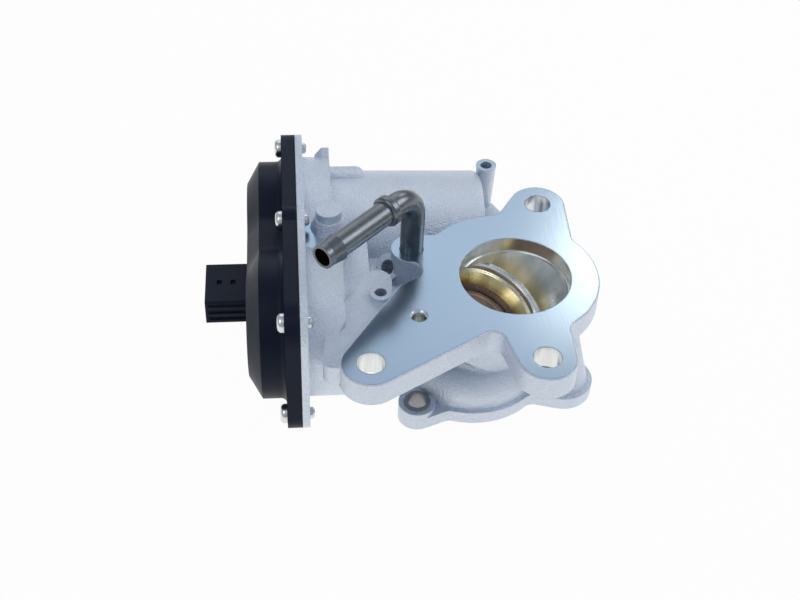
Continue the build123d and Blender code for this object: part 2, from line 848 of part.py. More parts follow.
# Shaft, cut obliquely where the disc is welded on
with BuildPart() as valve_shaft:
    with BuildSketch(across(hub_end_x)):
        Circle(shaft_radius)
    extrude(amount=seat_x + 2 * shaft_radius - hub_end_x)
    split(bisect_by=seat_plane.offset(-disc_thickness / 2), keep=Keep.BOTTOM)
valve_shaft.part.label = "valve_shaft"
export_step(valve_shaft.part, "parts/valve_shaft.step")

# Bearing, seal and bush along the shaft
shaft_rings = [("shaft_bearing", 5.0), ("shaft_seal", 3.6), ("shaft_bush", 10.0)]
for (name, length), (bore, start, depth) in zip(shaft_rings, shaft_bores):
    with BuildPart() as shaft_ring:
        with BuildSketch(across(start)):
            Circle(bore)
            Circle(shaft_radius + running_gap, mode=Mode.SUBTRACT)
        extrude(amount=length)
    shaft_ring.part.label = name
    export_step(shaft_ring.part, f"parts/{name}.step")

# Output gear: hub, web and the run of teeth that the travel needs
sector_first = -int(flap_travel * sector_teeth / 360 + 2.5)
with BuildPart() as output_gear:
    with BuildSketch(across(sector_x)):
        with BuildLine():
            start_foot, end_foot = tooth_run(
                second_module, sector_teeth, -second_shift, middle_heading, sector_first, 2 - sector_first
            )
            Polyline(end_foot, (0, 0), start_foot)
        make_face()
        with Locations((0, 0)):
            with PolarLocations(sector_window_place, 3, sector_window_angle, 75, endpoint=True):
                Circle(sector_window_radius, mode=Mode.SUBTRACT)
    extrude(amount=sector_thickness)
    with BuildSketch(across(hub_end_x)):
        Circle(hub_radius)
    extrude(amount=hub_length)
    with BuildSketch(across(hub_end_x)):
        Circle(shaft_radius + press_gap)
    extrude(amount=hub_length, mode=Mode.SUBTRACT)
output_gear.part.label = "output_gear"
export_step(output_gear.part, "parts/output_gear.step")

with BuildPart() as sensor_magnet:
    with BuildSketch(across(hub_end_x)):
        Circle(hub_radius - 1)
    extrude(amount=-magnet_height)
sensor_magnet.part.label = "sensor_magnet"
export_step(sensor_magnet.part, "parts/sensor_magnet.step")

# Intermediate gear: wheel and small gear in one moulding, running on a fixed pin
with BuildPart() as intermediate_gear:
    with BuildSketch(across(wheel_x)):
        with Locations((middle_y, middle_up)):
            add(toothed_wheel(first_module, wheel_teeth, -first_shift, motor_heading + pi / wheel_teeth))
    extrude(amount=wheel_thickness)
    with BuildSketch(across(wheel_x + wheel_thickness)):
        with Locations((middle_y, middle_up)):
            small_heading = middle_heading + pi + pi / small_teeth
            add(toothed_wheel(second_module, small_teeth, second_shift, small_heading))
    extrude(amount=small_gear_length)
    with BuildSketch(across(wheel_x)):
        with Locations((middle_y, middle_up)):
            Circle(axle_radius + running_gap)
    extrude(amount=wheel_thickness + small_gear_length, mode=Mode.SUBTRACT)
intermediate_gear.part.label = "intermediate_gear"
export_step(intermediate_gear.part, "parts/intermediate_gear.step")

with BuildPart() as intermediate_axle:
    with BuildSketch(across(case_floor_x + axle_depth)):
        with Locations((middle_y, middle_up)):
            Circle(axle_radius)
    extrude(amount=wheel_x - axle_end - case_floor_x - axle_depth)
intermediate_axle.part.label = "intermediate_axle"
export_step(intermediate_axle.part, "parts/intermediate_axle.step")

with BuildPart() as axle_clip:
    with BuildSketch(across(wheel_x - seat_gap)):
        with Locations((middle_y, middle_up)):
            Circle(axle_radius + clip_width)
            Circle(axle_radius + press_gap, mode=Mode.SUBTRACT)
    extrude(amount=-clip_gauge)
axle_clip.part.label = "axle_clip"
export_step(axle_clip.part, "parts/axle_clip.step")

# Motor: can, magnets, rotor and pinion
with BuildPart() as motor_can:
    with BuildSketch(across(can_front_x)):
        with Locations((motor_y, 0)):
            Circle(can_radius)
    extrude(amount=can_length)
    with BuildSketch(across(can_front_x + can_wall)):
        with Locations((motor_y, 0)):
            Circle(can_radius - can_wall)
    extrude(amount=can_length - 2 * can_wall, mode=Mode.SUBTRACT)
    with BuildSketch(across(can_front_x)):
        with Locations((motor_y, 0)):
            Circle(motor_shaft_radius + running_gap)
    extrude(amount=can_length, mode=Mode.SUBTRACT)
motor_can.part.label = "motor_can"
export_step(motor_can.part, "parts/motor_can.step")

with BuildPart() as motor_magnets:
    with BuildSketch(across(can_front_x + rotor_start - magnet_overhang)):
        with Locations((motor_y, 0)):
            Circle(can_radius - can_wall - press_gap)
            Circle(rotor_radius + rotor_air_gap, mode=Mode.SUBTRACT)
            Rectangle(2 * can_radius, magnet_gap, mode=Mode.SUBTRACT)
    extrude(amount=rotor_length + 2 * magnet_overhang)
motor_magnets.part.label = "motor_magnets"
export_step(motor_magnets.part, "parts/motor_magnets.step")

with BuildPart() as motor_rotor:
    with BuildSketch(across(pinion_x)):
        with Locations((motor_y, 0)):
            Circle(motor_shaft_radius)
    extrude(amount=can_front_x + can_length - pinion_x)
    with BuildSketch(across(can_front_x + rotor_start)):
        with Locations((motor_y, 0)):
            Circle(rotor_radius)
    extrude(amount=rotor_length)
    with BuildSketch(across(can_front_x + rotor_start - commutator_length)):
        with Locations((motor_y, 0)):
            Circle(commutator_radius)
    extrude(amount=commutator_length)
motor_rotor.part.label = "motor_rotor"
export_step(motor_rotor.part, "parts/motor_rotor.step")

with BuildPart() as motor_pinion:
    with BuildSketch(across(pinion_x)):
        with Locations((motor_y, 0)):
            add(toothed_wheel(first_module, pinion_teeth, first_shift, motor_heading + pi))
            Circle(motor_shaft_radius + press_gap, mode=Mode.SUBTRACT)
    extrude(amount=pinion_length)
motor_pinion.part.label = "motor_pinion"
export_step(motor_pinion.part, "parts/motor_pinion.step")

# Plate and screws that hold the motor in the case
with BuildPart() as motor_plate:
    with BuildSketch(across(case_floor_x)):
        with Locations((motor_y, 0)):
            Circle(can_radius - motor_plate_step)
            with PolarLocations(motor_screw_circle, 2, motor_screw_angle):
                Circle(motor_boss_radius)
            Circle(pinion_window_radius, mode=Mode.SUBTRACT)
            with PolarLocations(motor_screw_circle, 2, motor_screw_angle):
                Circle(motor_screw_radius + motor_plate_hole_gap, mode=Mode.SUBTRACT)
        with Locations(*contact_places):
            slot = (contact_thickness + 2 * contact_slot, contact_width + 2 * contact_slot)
            Rectangle(*slot, mode=Mode.SUBTRACT)
    extrude(amount=-plate_gauge)
motor_plate.part.label = "motor_plate"
export_step(motor_plate.part, "parts/motor_plate.step")

with BuildPart() as motor_screws:
    with BuildSketch(across(case_floor_x - plate_gauge)):
        with Locations((motor_y, 0)):
            with PolarLocations(motor_screw_circle, 2, motor_screw_angle):
                Circle(motor_screw_radius)
    extrude(amount=motor_screw_depth + plate_gauge)
    with BuildSketch(across(case_floor_x - plate_gauge)):
        with Locations((motor_y, 0)):
            with PolarLocations(motor_screw_circle, 2, motor_screw_angle):
                Circle(motor_screw_head_radius)
    extrude(amount=-motor_screw_head_height)
motor_screws.part.label = "motor_screws"
export_step(motor_screws.part, "parts/motor_screws.step")

with BuildPart() as motor_contacts:
    with BuildSketch(across(can_front_x)):
        with Locations(*contact_places):
            Rectangle(contact_thickness, contact_width)
    extrude(amount=dome_inner_x + contact_reach - can_front_x)
motor_contacts.part.label = "motor_contacts"
export_step(motor_contacts.part, "parts/motor_contacts.step")

# Return spring round its guide in the pocket
with BuildPart() as spring_guide:
    with BuildSketch(across(case_floor_x + guide_start)):
        Circle(spring_mean_radius - spring_wire_radius - guide_gap)
        Circle(shaft_radius + guide_bore_gap, mode=Mode.SUBTRACT)
    extrude(amount=spring_pocket_depth - guide_start)
spring_guide.part.label = "spring_guide"
export_step(spring_guide.part, "parts/spring_guide.step")

with BuildPart() as return_spring:
    with BuildLine() as coil:
        Helix(
            pitch=spring_pitch,
            height=spring_turns * spring_pitch,
            radius=spring_mean_radius,
            center=(case_floor_x + spring_start, 0, shaft_z),
            direction=(1, 0, 0),
        )
    with BuildSketch(coil.line ^ 0):
        Circle(spring_wire_radius)
    sweep(path=coil.line, is_frenet=True)
return_spring.part.label = "return_spring"
export_step(return_spring.part, "parts/return_spring.step")

# Gasket between the case plate and the cover
with BuildPart() as cover_gasket:
    with BuildSketch(across(plate_face_x)):
        rim_outline()
        with Locations(*screw_places):
            Circle(screw_radius + seat_gap, mode=Mode.SUBTRACT)
    extrude(amount=-gasket_thickness)
    with BuildSketch(across(plate_face_x)):
        case_outline(motor_end_radius, shaft_end_radius, case_wall)
    extrude(amount=-gasket_thickness, mode=Mode.SUBTRACT)
cover_gasket.part.label = "cover_gasket"
export_step(cover_gasket.part, "parts/cover_gasket.step")

# Moulded cover: rim, hollow dome with a sloping edge, and the plug shroud
with BuildPart() as gear_cover:
    with BuildSketch(across(rim_back_x)):
        rim_outline()
    extrude(amount=-rim_thickness)
    with BuildSketch(across(rim_front_x)):
        case_outline(dome_radius, dome_radius)
    extrude(amount=dome_slope_depth - dome_height)
    with BuildSketch(across(dome_face_x + dome_slope_depth)):
        case_outline(dome_radius, dome_radius)
    extrude(amount=-dome_slope_depth, taper=dome_slope)
    rim_front = gear_cover.faces().filter_by(Axis.X)
    rim_front = rim_front.filter_by_position(Axis.X, rim_front_x - 0.01, rim_front_x + 0.01)
    fillet(rim_front.sort_by(SortBy.AREA)[-1].inner_wires()[0].edges(), rim_fillet)
    # Plug shroud with ribs along its front and two small windows in its top
    with BuildSketch(across(dome_inner_x)):
        with Locations((socket_y, 0)):
            RectangleRounded(socket_width, socket_height, socket_corner)
    extrude(amount=socket_tip_x - dome_inner_x)
    with BuildSketch(across(dome_inner_x)):
        for height in plug_rib_heights:
            with Locations((socket_y - socket_width / 2, height)):
                Rectangle(2 * plug_rib_height, plug_rib_width)
    extrude(amount=socket_tip_x + 1 - dome_inner_x)
    with BuildSketch(level(shaft_z + socket_height / 2)):
        with Locations(*plug_window_places):
            Rectangle(*plug_window[:2])
    extrude(amount=-plug_window[2], mode=Mode.SUBTRACT)
    # Hollow inside
    with BuildSketch(across(rim_back_x)):
        case_outline(dome_radius, dome_radius, dome_wall)
    extrude(amount=dome_inner_x + inner_slope_depth - rim_back_x, mode=Mode.SUBTRACT)
    with BuildSketch(across(dome_inner_x + inner_slope_depth)):
        case_outline(dome_radius, dome_radius, dome_wall)
    extrude(amount=-inner_slope_depth, taper=dome_slope, mode=Mode.SUBTRACT)
    with BuildSketch(across(socket_tip_x)):
        with Locations((socket_y, 0)):
            mouth = (socket_width - 2 * socket_wall, socket_height - 2 * socket_wall)
            RectangleRounded(*mouth, socket_corner / 2)
    extrude(amount=socket_depth, mode=Mode.SUBTRACT)
    with BuildSketch(across(dome_inner_x)):
        with Locations((socket_y, 0)):
            with GridLocations(pin_pitch, 1, pin_count, 1):
                Rectangle(pin_width + 2 * press_gap, pin_width + 2 * press_gap)
    extrude(amount=socket_tip_x + socket_depth - dome_inner_x, mode=Mode.SUBTRACT)
    with BuildSketch(across(rim_back_x)):
        with Locations(*screw_places):
            Circle(screw_radius + seat_gap)
    extrude(amount=-rim_thickness, mode=Mode.SUBTRACT)
    with BuildSketch(across(rim_front_x)):
        with Locations(*screw_places):
            Circle(screw_head_radius + seat_gap)
    extrude(amount=-rim_fillet, mode=Mode.SUBTRACT)
gear_cover.part.label = "gear_cover"
export_step(gear_cover.part, "parts/gear_cover.step")

# Six equal cover screws
with BuildPart() as cover_screws:
    with BuildSketch(across(rim_front_x)):
        with Locations(*screw_places):
            Circle(screw_head_radius)
    extrude(amount=-screw_head_height)
    fillet(cover_screws.faces().sort_by(Axis.X)[: len(screw_places)].edges(), screw_head_height * 0.6)
    with BuildSketch(across(rim_front_x)):
        with Locations(*screw_places):
            Circle(screw_radius)
    extrude(amount=plate_x + screw_tip_length - rim_front_x)
    chamfer(cover_screws.faces().sort_by(Axis.X)[-len(screw_places) :].edges(), screw_tip_chamfer)
    with BuildSketch(across(rim_front_x - screw_head_height)):
        with Locations(*screw_places):
            RegularPolygon(screw_recess_radius, 6)
            RegularPolygon(screw_recess_radius, 6, rotation=30)
    extrude(amount=screw_recess_depth, mode=Mode.SUBTRACT)
cover_screws.part.label = "cover_screws"
export_step(cover_screws.part, "parts/cover_screws.step")

# Plug pins and the sensor board that carries them
with BuildPart() as connector_pins:
    with BuildSketch(across(board_back_x)):
        with Locations((socket_y, 0)):
            with GridLocations(pin_pitch, 1, pin_count, 1):
                Rectangle(pin_width, pin_width)
    extrude(amount=pin_tip_x - board_back_x)
connector_pins.part.label = "connector_pins"
export_step(connector_pins.part, "parts/connector_pins.step")

with BuildPart() as sensor_board:
    with BuildSketch(across(board_back_x)):
        with Locations((socket_y / 2, 0)):
            Rectangle(socket_y + 2 * board_margin, board_height)
        with Locations((socket_y, 0)):
            with GridLocations(pin_pitch, 1, pin_count, 1):
                Rectangle(pin_width + 2 * press_gap, pin_width + 2 * press_gap, mode=Mode.SUBTRACT)
    extrude(amount=-board_gauge)
    with BuildSketch(across(board_back_x)):
        Rectangle(*chip_size[:2])
    extrude(amount=chip_size[2])
sensor_board.part.label = "sensor_board"
export_step(sensor_board.part, "parts/sensor_board.step")

# Bent steel coolant pipe with a bead and a barbed end
pipe_way = (cos(radians(pipe_heading)), sin(radians(pipe_heading)), 0)
bend_start = Vector(*pipe_root, pipe_height - pipe_bend_radius)
bend_end = Vector(*pipe_root, pipe_height) + Vector(*pipe_way) * pipe_bend_radius
bend_middle = bend_start + Vector(*pipe_way) * (pipe_bend_radius * (1 - cos(pi / 4)))
bend_middle += Vector(0, 0, pipe_bend_radius * sin(pi / 4))
pipe_end = bend_end + Vector(*pipe_way) * pipe_run
barb_plane = Plane(origin=pipe_end, x_dir=(0, 0, 1), z_dir=Vector(*pipe_way).cross(Vector(0, 0, 1)))
with BuildPart() as coolant_pipe:
    with BuildLine() as route:
        Line((*pipe_root, -pipe_socket_depth), bend_start)
        ThreePointArc(bend_start, bend_middle, bend_end)
        Line(bend_end, pipe_end)
    with BuildSketch(level(-pipe_socket_depth)):
        with Locations(pipe_root):
            Circle(pipe_radius)
    sweep(path=route.wire())
    with BuildSketch(Plane(origin=pipe_end, z_dir=pipe_way)):
        Circle(barb_radius - barb_step)
    extrude(amount=-barb_length, taper=-barb_taper)
    with BuildSketch(Plane(origin=bend_end + Vector(*pipe_way) * bead_place, z_dir=pipe_way)):
        Circle(bead_radius)
    extrude(amount=bead_width)
    bead_edges = coolant_pipe.edges().filter_by(GeomType.CIRCLE)
    fillet(bead_edges.filter_by(lambda edge: abs(edge.radius - bead_radius) < 0.01), bead_round)
    with BuildSketch(level(-pipe_socket_depth)):
        with Locations(pipe_root):
            Circle(pipe_bore_radius)
    sweep(path=route.wire(), mode=Mode.SUBTRACT)
coolant_pipe.part.label = "coolant_pipe"
export_step(coolant_pipe.part, "parts/coolant_pipe.step")

# Steel bush in the small lower lug
with BuildPart() as lug_bush:
    with BuildSketch(level(lower_face_z)):
        with Locations(bush_lug):
            Circle(bush_radius)
            Circle(bush_bore_radius, mode=Mode.SUBTRACT)
    extrude(amount=bush_lug_top_z + bush_stand - lower_face_z)
lug_bush.part.label = "lug_bush"
export_step(lug_bush.part, "parts/lug_bush.step")
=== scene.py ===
from math import radians

import bpy
import numpy as np
from mathutils import Matrix, Vector


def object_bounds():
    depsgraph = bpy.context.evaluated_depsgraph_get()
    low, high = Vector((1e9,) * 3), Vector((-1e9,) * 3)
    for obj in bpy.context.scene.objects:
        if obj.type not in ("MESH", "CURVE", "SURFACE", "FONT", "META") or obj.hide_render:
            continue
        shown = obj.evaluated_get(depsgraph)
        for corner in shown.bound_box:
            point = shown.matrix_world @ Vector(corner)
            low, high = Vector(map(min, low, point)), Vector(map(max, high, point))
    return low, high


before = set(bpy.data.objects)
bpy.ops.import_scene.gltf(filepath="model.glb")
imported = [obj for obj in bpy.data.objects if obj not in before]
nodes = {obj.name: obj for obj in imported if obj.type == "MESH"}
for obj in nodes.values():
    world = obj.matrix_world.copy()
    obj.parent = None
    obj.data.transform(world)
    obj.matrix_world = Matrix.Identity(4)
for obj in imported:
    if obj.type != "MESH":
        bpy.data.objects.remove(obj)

cad_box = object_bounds()

# Camera, studio and floor. The camera stands where the photograph was taken from: front left, looking
# down at 43 degrees and rolled a little. The floor and the room behind it are white, and four soft
# lamps light the part plainly.
camera_place = Vector((-0.07203, -0.32365, 0.29662))
camera_turn = radians(-6.0)
camera_fall = radians(43.28)
camera_roll = radians(2.48)
focal_pixels = 1339.0
photo_width = 800
sensor_width = 36.0

look = Vector((
    -np.sin(camera_turn) * np.cos(camera_fall),
    np.cos(camera_turn) * np.cos(camera_fall),
    -np.sin(camera_fall),
))
level_right = Vector((np.cos(camera_turn), np.sin(camera_turn), 0))
level_up = level_right.cross(look)
right = level_right * np.cos(camera_roll) + level_up * np.sin(camera_roll)
up = level_up * np.cos(camera_roll) - level_right * np.sin(camera_roll)
camera = bpy.data.objects.new("camera", bpy.data.cameras.new("camera"))
camera.data.sensor_width = sensor_width
camera.data.lens = focal_pixels / photo_width * sensor_width
camera.data.clip_start = 0.01
camera.matrix_world = Matrix((
    (right.x, up.x, -look.x, camera_place.x),
    (right.y, up.y, -look.y, camera_place.y),
    (right.z, up.z, -look.z, camera_place.z),
    (0, 0, 0, 1),
))
bpy.context.collection.objects.link(camera)
bpy.context.scene.camera = camera
bpy.context.scene.view_settings.view_transform = "Standard"


def add(tree, kind, *feeds, **settings):
    """New shader node. Settings are its attributes, and feeds are (socket, number or output) pairs."""
    node = tree.nodes.new(kind)
    for name, value in settings.items():
        setattr(node, name, value)
    for name, value in feeds:
        if isinstance(value, bpy.types.NodeSocket):
            tree.links.new(value, node.inputs[name])
        else:
            node.inputs[name].default_value = value
    return node


def sum_up(tree, operation, first, second=0.0, third=0.0):
    """Output of a Math node on up to three numbers or outputs."""
    feeds = ((0, first), (1, second), (2, third))
    return add(tree, "ShaderNodeMath", *feeds, operation=operation).outputs[0]


def seen_directly(tree):
    """1 for camera, glossy and transmission rays, so that the eye and the metal both see white."""
    path = add(tree, "ShaderNodeLightPath")
    seen = sum_up(tree, "MAXIMUM", path.outputs["Is Camera Ray"], path.outputs["Is Glossy Ray"])
    return sum_up(tree, "MAXIMUM", seen, path.outputs["Is Transmission Ray"])


world = bpy.data.worlds.new("studio")
bpy.context.scene.world = world
world.use_nodes = True
tree = world.node_tree
tree.nodes.clear()
path = add(tree, "ShaderNodeLightPath")
direction = add(tree, "ShaderNodeTexCoord")
height = add(tree, "ShaderNodeSeparateXYZ", (0, direction.outputs["Generated"]))
room = add(tree, "ShaderNodeValToRGB", (0, sum_up(tree, "MULTIPLY_ADD", height.outputs["Z"], 0.5, 0.5)))
room.color_ramp.elements[0].position = 0.40
room.color_ramp.elements[0].color = (0.34, 0.38, 0.44, 1)
room.color_ramp.elements[1].position = 0.95
room.color_ramp.elements[1].color = (0.36, 0.40, 0.46, 1)
plain = add(tree, "ShaderNodeBackground", ("Color", (0.78, 0.86, 1.0, 1)), ("Strength", 0.30))
mirrored = add(tree, "ShaderNodeBackground", ("Color", room.outputs[0]), ("Strength", 1.0))
white = add(tree, "ShaderNodeBackground", ("Color", (1, 1, 1, 1)), ("Strength", 1.0))
glossy = add(
    tree,
    "ShaderNodeMixShader",
    (0, path.outputs["Is Glossy Ray"]),
    (1, plain.outputs[0]),
    (2, mirrored.outputs[0]),
)
whole = add(
    tree,
    "ShaderNodeMixShader",
    (0, sum_up(tree, "MAXIMUM", path.outputs["Is Camera Ray"], path.outputs["Is Transmission Ray"])),
    (1, glossy.outputs[0]),
    (2, white.outputs[0]),
)
add(tree, "ShaderNodeOutputWorld", (0, whole.outputs[0]))

lamp_aim = Vector((-0.02, 0.0, 0.0))
for name, place, size, power, colour in (
    ("lamp_key", (-0.45, -0.35, 0.75), 0.6, 1.5, (1, 1, 1)),
    ("lamp_right", (0.75, 0.10, 0.60), 0.5, 2.0, (1, 1, 1)),
    ("lamp_back", (-0.10, 0.80, 0.55), 0.6, 0.9, (1, 1, 1)),
    ("lamp_near", (0.150, 0.33, 0.29), 0.10, 0.13, (1, 0.9, 0.76)),
):
    lamp = bpy.data.objects.new(name, bpy.data.lights.new(name, "AREA"))
    lamp.data.size = size
    lamp.data.energy = power
    lamp.data.color = colour
    aim = lamp_aim - Vector(place)
    lamp.matrix_world = Matrix.Translation(place) @ aim.to_track_quat("-Z", "Y").to_matrix().to_4x4()
    bpy.context.collection.objects.link(lamp)

floor_reach = 4.0
floor_gap = 0.0005
floor_glow = 0.97
floor_z = cad_box[0][2] - floor_gap
floor_mesh = bpy.data.meshes.new("floor")
corners = [(x * floor_reach, y * floor_reach, floor_z) for x, y in ((-1, -1), (1, -1), (1, 1), (-1, 1))]
floor_mesh.from_pydata(corners, [], [(0, 1, 2, 3)])
floor = bpy.data.objects.new("floor", floor_mesh)
bpy.context.collection.objects.link(floor)
floor_material = bpy.data.materials.new("white_floor")
floor_material.use_nodes = True
tree = floor_material.node_tree
tree.nodes.clear()
matt = add(tree, "ShaderNodeBsdfDiffuse", ("Color", (0.9, 0.9, 0.9, 1)))
glow = add(tree, "ShaderNodeEmission", ("Color", (1, 1, 1, 1)), ("Strength", 1.0))
share = sum_up(tree, "MULTIPLY", seen_directly(tree), floor_glow)
mixed = add(tree, "ShaderNodeMixShader", (0, share), (1, matt.outputs[0]), (2, glow.outputs[0]))
add(tree, "ShaderNodeOutputMaterial", (0, mixed.outputs[0]))
floor_mesh.materials.append(floor_material)


# Housing. One aluminium casting: a fine sand-cast skin, with milled flange faces and turned bores.
# The CAD node stays, and its finish follows where the cutters have been.
def finish(name, colour, metallic, roughness):
    """New material with one Principled shader; returns the material, its tree and the shader."""
    made = bpy.data.materials.new(name)
    made.use_nodes = True
    shader = made.node_tree.nodes["Principled BSDF"]
    shader.inputs["Base Color"].default_value = (*colour, 1)
    shader.inputs["Metallic"].default_value = metallic
    shader.inputs["Roughness"].default_value = roughness
    return made, made.node_tree, shader


def grain(tree, scale, detail=3.0, stretch=(1, 1, 1), roughness=0.55):
    """Noise over the object's own coordinates, in metres, stretched along an axis by a small factor."""
    place = add(tree, "ShaderNodeTexCoord").outputs["Object"]
    mapped = add(tree, "ShaderNodeMapping", ("Vector", place), ("Scale", stretch))
    noise = add(
        tree,
        "ShaderNodeTexNoise",
        ("Vector", mapped.outputs[0]),
        ("Scale", scale),
        ("Detail", detail),
        ("Roughness", roughness),
    )
    return noise.outputs[0]


def between(tree, share, low, high):
    """Number or colour that runs from low to high as share goes from 0 to 1."""
    if isinstance(low, tuple):
        mix = add(tree, "ShaderNodeMix", (0, share), (6, (*low, 1)), (7, (*high, 1)), data_type="RGBA")
        return mix.outputs[2]
    ranged = add(tree, "ShaderNodeMapRange", (0, share), (3, low), (4, high))
    return ranged.outputs[0]


def relief(tree, shader, bumps, edge=0.0):
    """Chained Bump nodes, given as (height output, distance), over edges rounded by that radius."""
    normal = None
    if edge:
        normal = add(tree, "ShaderNodeBevel", ("Radius", edge), samples=6).outputs[0]
    for height, distance in bumps:
        feeds = [("Height", height), ("Distance", distance), ("Strength", 1.0)]
        if normal is not None:
            feeds.append(("Normal", normal))
        normal = add(tree, "ShaderNodeBump", *feeds).outputs[0]
    tree.links.new(normal, shader.inputs["Normal"])


def dress(material, *names):
    """Gives CAD nodes their finish."""
    for name in names:
        mesh = nodes[name].data
        mesh.materials.clear()
        mesh.materials.append(material)


cast, tree, shader = finish("cast_aluminium", (0.74, 0.78, 0.84), 1.0, 0.45)
place = add(tree, "ShaderNodeSeparateXYZ", (0, add(tree, "ShaderNodeTexCoord").outputs["Object"])).outputs
face = add(tree, "ShaderNodeNewGeometry").outputs["True Normal"]
facing = add(tree, "ShaderNodeSeparateXYZ", (0, face)).outputs
flat = sum_up(tree, "GREATER_THAN", sum_up(tree, "ABSOLUTE", facing[2]), 0.98)
face_heights = (0.0, -0.043)
face_margin = 0.00005
milled = 0.0
for face_z in face_heights:
    at_face = sum_up(tree, "COMPARE", place[2], face_z, face_margin)
    milled = sum_up(tree, "MAXIMUM", milled, sum_up(tree, "MULTIPLY", at_face, flat))


def inside_bore(tree, place, x, y, radius, low, high):
    """1 inside an upright cylinder between two heights, and 0 elsewhere."""
    away_x = sum_up(tree, "SUBTRACT", place[0], x)
    away_y = sum_up(tree, "SUBTRACT", place[1], y)
    squared = sum_up(tree, "MULTIPLY_ADD", away_x, away_x, sum_up(tree, "MULTIPLY", away_y, away_y))
    inside = sum_up(tree, "LESS_THAN", squared, radius**2)
    above = sum_up(tree, "GREATER_THAN", place[2], low)
    below = sum_up(tree, "LESS_THAN", place[2], high)
    return sum_up(tree, "MULTIPLY", inside, sum_up(tree, "MULTIPLY", above, below))


bored = 0.0
for x, y, radius, low, high in (
    (0.0, 0.0, 0.01862, -0.0205, -face_margin),
    (-0.013, 0.0, 0.01802, -0.0440, -0.0339),
    (0.0129, 0.0368, 0.00452, -0.009, -face_margin),
    (0.0049, -0.0382, 0.00452, -0.009, -face_margin),
    (-0.0501, -0.0382, 0.00452, -0.009, -face_margin),
    (-0.0335, -0.0179, 0.0029, -0.008, -face_margin),
):
    bored = sum_up(tree, "MAXIMUM", bored, inside_bore(tree, place, x, y, radius, low, high))
skin = between(tree, grain(tree, 1300, 4), (0.60, 0.66, 0.76), (0.82, 0.88, 0.96))
cut = between(tree, grain(tree, 14, 2), (0.31, 0.41, 0.52), (0.35, 0.45, 0.57))
wall = between(tree, grain(tree, 420, 3, (1, 1, 0.08)), (0.58, 0.62, 0.62), (1.0, 1.0, 0.98))
colour = add(tree, "ShaderNodeMix", (0, milled), (6, skin), (7, cut), data_type="RGBA").outputs[2]
colour = add(tree, "ShaderNodeMix", (0, bored), (6, colour), (7, wall), data_type="RGBA").outputs[2]
tree.links.new(colour, shader.inputs["Base Color"])
rough_skin = between(tree, grain(tree, 400, 3), 0.38, 0.50)
rough_cut = between(tree, grain(tree, 700, 2), 0.19, 0.23)
rough_wall = between(tree, grain(tree, 300, 2, (1, 1, 0.1)), 0.16, 0.30)
rough = add(tree, "ShaderNodeMix", (0, milled), (2, rough_skin), (3, rough_cut), data_type="FLOAT").outputs[0]
rough = add(tree, "ShaderNodeMix", (0, bored), (2, rough), (3, rough_wall), data_type="FLOAT").outputs[0]
tree.links.new(rough, shader.inputs["Roughness"])
plain_skin = sum_up(tree, "SUBTRACT", 1.0, sum_up(tree, "MAXIMUM", milled, bored))
sand = sum_up(tree, "MULTIPLY", grain(tree, 1800, 4), plain_skin)
marks = sum_up(tree, "MULTIPLY", grain(tree, 1500, 2, (1, 0.05, 1)), milled)
relief(tree, shader, [(sand, 0.0005), (marks, 0.000012)], 0.0005)
dress(cast, "valve_housing")

# Seat ring and flap. The ring is turned steel, tinted straw by heat, with bright lands; its pale silver top
# band is partly the steel's own colour and partly a painted highlight on the lip's chamfer edge. The disc is
# browned and shows the turning tool's rings. The thin seal ring floats in the disc's groove.
seat_centre = Vector((-0.0104, 0, -0.0195))
seat_tilt = radians(27)


def seat_coordinates(tree):
    """(radius, height) outputs of the tilted seat: metres from its axis, and along it from its centre."""
    place = add(tree, "ShaderNodeTexCoord").outputs["Object"]
    moved = add(tree, "ShaderNodeVectorMath", (0, place), (1, seat_centre), operation="SUBTRACT").outputs[0]
    feeds = (("Vector", moved), ("Angle", -seat_tilt))
    turned = add(tree, "ShaderNodeVectorRotate", *feeds, rotation_type="Y_AXIS").outputs[0]
    parts = add(tree, "ShaderNodeSeparateXYZ", (0, turned)).outputs
    squares = sum_up(tree, "MULTIPLY_ADD", parts[0], parts[0], sum_up(tree, "MULTIPLY", parts[1], parts[1]))
    return sum_up(tree, "SQRT", squares), parts[2]


def turned_bands(tree, along, pitch):
    """Fine turning marks: a wave of that pitch along an output in metres."""
    return sum_up(tree, "SINE", sum_up(tree, "MULTIPLY", along, 2 * np.pi / pitch))


ring, tree, shader = finish("seat_steel", (0.62, 0.56, 0.36), 1.0, 0.3)
height = seat_coordinates(tree)[1]
ramp_length = 1 / 85
along_ramp = between(tree, sum_up(tree, "MULTIPLY", height, 1 / ramp_length), 0.0, 1.0)
bands = add(tree, "ShaderNodeValToRGB", (0, along_ramp))
# Colour bands along the seat's axis. The pale silver top stops (0.72 and 0.86) are partly the lip's own
# bright steel and partly a painted highlight on its chamfer edge.
ring_tints_and_lip_highlight = (
    (0.0, (0.55, 0.49, 0.46)),
    (0.31, (0.62, 0.56, 0.52)),
    (0.36, (0.36, 0.27, 0.12)),
    (0.50, (0.66, 0.53, 0.24)),
    (0.64, (0.72, 0.62, 0.34)),
    (0.72, (0.80, 0.78, 0.72)),
    (0.86, (0.85, 0.86, 0.86)),
)
bands.color_ramp.elements.remove(bands.color_ramp.elements[1])
for index, (at, tint) in enumerate(ring_tints_and_lip_highlight):
    stop = bands.color_ramp.elements[0] if index == 0 else bands.color_ramp.elements.new(at)
    stop.position = at
    stop.color = (*tint, 1)
tree.links.new(bands.outputs[0], shader.inputs["Base Color"])
tree.links.new(between(tree, grain(tree, 300, 2), 0.2, 0.36), shader.inputs["Roughness"])
relief(tree, shader, [(turned_bands(tree, height, 0.0004), 0.00001)], 0.0002)
dress(ring, "seat_ring", "flap_seal_ring")

